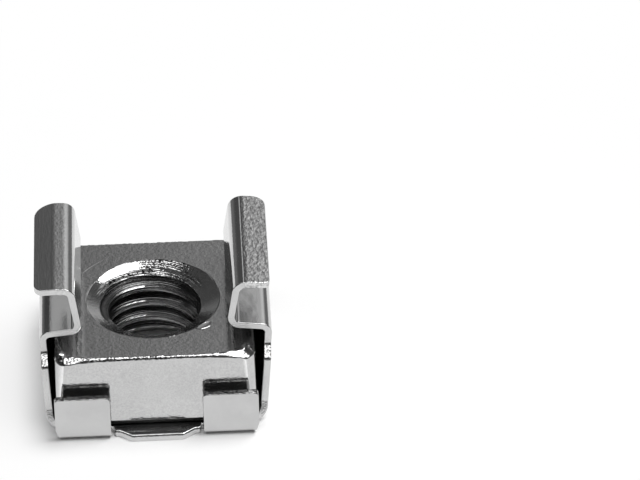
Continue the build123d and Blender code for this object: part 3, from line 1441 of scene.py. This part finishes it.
        # Painted highlight down the corners of the shoulder and the wall.
        for band in (Band.SHOULDER, Band.WALL):
            zones[Zone.CORNER_SHEEN][rows[band]] = self.corner_sheen_share()
        outside = (np.arange(len(points)) >= count)[:, None]
        outside = outside & (points[..., 2] > self.top - self.mound_depth)
        for mound in self.mounds:
            near = mound.share(points) * outside
            points[..., 2] += mound.height * near
            zones[Zone.BURR] = np.maximum(zones[Zone.BURR], self.mound_burr * near)
        return points, zones

    def corner_sheen_share(self) -> Array:
        """Paint a highlight down the corners: a bell curve along each, 1 where it meets the front or the back.

        Distance is a share of the corner's turn.

        Returns:
            How much painted highlight each column gets.
        """
        share = np.zeros(len(self.angle))
        count = len(self.side_share) + len(self.turn)
        bend = self.turn / (np.pi / 2)
        for number, width in enumerate(self.corner_sheen):
            start = number * count + len(self.side_share)
            away = bend if number % 2 else 1 - bend
            share[start : start + len(bend)] = bell(away, 0.0, width)
        return share

    def build(self) -> bpy.types.Object:
        """Build the nut's mesh and dress it.

        Returns:
            The finished nut.
        """
        rings, zones = self.rings()
        rows, columns = rings.shape[:2]
        points = rings.reshape(-1, 3)
        shares = {zone: values.ravel() for zone, values in zones.items()}
        mesh = store("plated_nut", points, ring_faces(rows, columns, True), shares)
        return finish_piece(mesh, points, self.finish.material(), "nut")


# The studio


@dataclass(frozen=True)
class Softbox:
    """A rectangular lamp that hangs level and shines down."""

    name: str
    low: Pair
    high: Pair
    height: float
    radiance: float

    def hang(self) -> None:
        """Add the lamp. Its power is four times its radiance times its area."""
        width, depth = self.high[0] - self.low[0], self.high[1] - self.low[1]
        lamp = bpy.data.lights.new(self.name, "AREA")
        lamp.shape = "RECTANGLE"
        lamp.size, lamp.size_y = width, depth
        lamp.energy = 4 * self.radiance * width * depth
        middle = ((self.low[0] + self.high[0]) / 2, (self.low[1] + self.high[1]) / 2)
        add_object(self.name, lamp).location = (*middle, self.height)


@dataclass
class Studio:
    """Pale floor, room, lamps and camera. Places are in metres here."""

    floor_half: float = 0.09
    floor_grey: float = 0.9
    footprint: Pair = (0.0052, 0.0060)
    contact_reach: float = 0.003
    mirror_reach: float = 0.0006
    floor_glow: float = 0.8
    glow_reach: Pair = (0.010, 0.030)
    room_dark: float = 0.07
    wall_light: float = 0.9
    wall_width: Window = (-0.17, 0.38, 0.38, 0.58)
    wall_top: Pair = (0.68, 0.85)
    wall_foot: Pair = (0.12, 0.58)
    wall_foot_share: float = 0.33
    wall_behind: Pair = (0.0, 0.2)
    skyline_light: float = 0.12
    skyline: Pair = (0.10, 0.35)
    skyline_behind: Pair = (0.0, 0.3)
    lamps: tuple[Softbox, ...] = (
        Softbox("key_lamp", (0.065, -0.10), (0.40, 0.21), 0.4, 5.0),
        Softbox("front_lamp", (-0.30, -0.23), (0.30, -0.07), 0.4, 2.4),
    )
    azimuth: float = 2.088
    elevation: float = 35.259
    roll: float = -1.032
    camera_place: Triple = (0.001958, -0.202783, 0.151880)
    camera_range: Pair = (0.01, 10.0)
    focal_pixels: float = 4500.0
    image_width: float = 640.0
    sensor_width: float = 36.0

    def lay_floor(self) -> None:
        """Lay the floor and give it its paper.

        The paper is matt white. To the camera and in reflections it also glows, so that it is as
        white as the room: not at all under the object, partly beside it and fully farther out. In
        reflections it starts nearer, which keeps most of the contact shadow out of the metal's mirror
        images.
        The distance from the footprint is the length of (max(|x| - a, 0), max(|y| - b, 0)).
        """
        corners = np.array([(-1, -1, 0), (1, -1, 0), (1, 1, 0), (-1, 1, 0)]) * self.floor_half
        mesh = bpy.data.meshes.new("floor")
        mesh.from_pydata(corners.tolist(), [], [(0, 1, 2, 3)])
        made, graph = new_material("floor_paper")
        x, y, _ = graph.split(graph.node("ShaderNodeTexCoord", {}, {}, "Object"))
        beside = (x.math("ABSOLUTE") - self.footprint[0]).larger(0.0)
        before = (y.math("ABSOLUTE") - self.footprint[1]).larger(0.0)
        away = (beside * beside + before * before).math("SQRT")
        near = away.ease(0.0, self.contact_reach, 0.0, self.floor_glow)
        close = away.ease(0.0, self.mirror_reach, 0.0, self.floor_glow)
        far = away.ease(*self.glow_reach, 0.0, 1 - self.floor_glow)
        grey = (self.floor_grey,) * 3 + (1.0,)
        paper = graph.node("ShaderNodeBsdfDiffuse", {}, {"Color": grey})
        glow = graph.node("ShaderNodeEmission", {}, {"Color": (1, 1, 1, 1), "Strength": 1.0})
        seen = graph.node("ShaderNodeLightPath", {}, {}, "Is Camera Ray")
        mirrored = Wire(graph, seen.socket.node.outputs["Is Glossy Ray"])
        share = seen * (near + far) + mirrored * (close + far)
        mixed = graph.node("ShaderNodeMixShader", {}, {0: share, 1: paper, 2: glow})
        graph.node("ShaderNodeOutputMaterial", {}, {"Surface": mixed})
        mesh.materials.append(made)
        add_object("floor", mesh)

    def surround(self) -> None:
        """Set the room: white to the camera, and otherwise dark with a pale wall and a skyline.

        The wall stands behind, brightest right of the middle and fainter at its foot, by the
        direction's x, y and z. The skyline is a faint glow low behind.
        """
        world = bpy.data.worlds.new("room")
        world.use_nodes = True
        graph = Graph(world.node_tree)
        x, y, z = graph.split(graph.node("ShaderNodeTexCoord", {}, {}, "Generated"))
        wall = x.window(*self.wall_width) * z.ease(*self.wall_foot, self.wall_foot_share, 1.0)
        wall = wall * z.ease(*self.wall_top, 1.0, 0.0) * y.ease(*self.wall_behind)
        skyline = z.ease(*self.skyline, self.skyline_light, 0.0) * y.ease(*self.skyline_behind)
        level = self.room_dark + wall * (self.wall_light - self.room_dark) + skyline
        seen = graph.node("ShaderNodeLightPath", {}, {}, "Is Camera Ray")
        level = level * (1 - seen) + seen
        glow = graph.node("ShaderNodeBackground", {}, {"Color": graph.grey(level), "Strength": 1.0})
        graph.node("ShaderNodeOutputWorld", {}, {"Surface": glow})
        bpy.context.scene.world = world

    def place_camera(self) -> None:
        """Set the camera as it stood for the photograph."""
        angles = (self.azimuth, self.elevation, self.roll)
        azimuth, elevation, roll = (math.radians(angle) for angle in angles)
        level = math.cos(elevation)
        forward = Vector((math.sin(azimuth) * level, math.cos(azimuth) * level, -math.sin(elevation)))
        beside = Vector((math.cos(azimuth), -math.sin(azimuth), 0))
        over = beside.cross(forward)
        right = math.cos(roll) * beside + math.sin(roll) * over
        up = -math.sin(roll) * beside + math.cos(roll) * over
        lens = bpy.data.cameras.new("camera")
        lens.sensor_width = self.sensor_width
        lens.lens = self.focal_pixels * self.sensor_width / self.image_width
        lens.clip_start, lens.clip_end = self.camera_range
        camera = add_object("camera", lens)
        turned = Matrix((right, up, -forward)).transposed().to_4x4()
        camera.matrix_world = Matrix.Translation(self.camera_place) @ turned
        bpy.context.scene.camera = camera

    def build(self) -> None:
        """Set up everything round the object."""
        self.lay_floor()
        self.surround()
        for lamp in self.lamps:
            lamp.hang()
        self.place_camera()
        bpy.context.scene.view_settings.view_transform = "Standard"


def main() -> None:
    """Build the pieces and the studio, and report each piece."""
    logging.basicConfig(level=logging.INFO, format="%(name)s: %(message)s")
    for maker in (SpringCage(), SquareNut()):
        piece = maker.build()
        LOG.info("%s: %d faces", piece.name, len(piece.data.polygons))
    Studio().build()


if __name__ == "__main__":
    main()
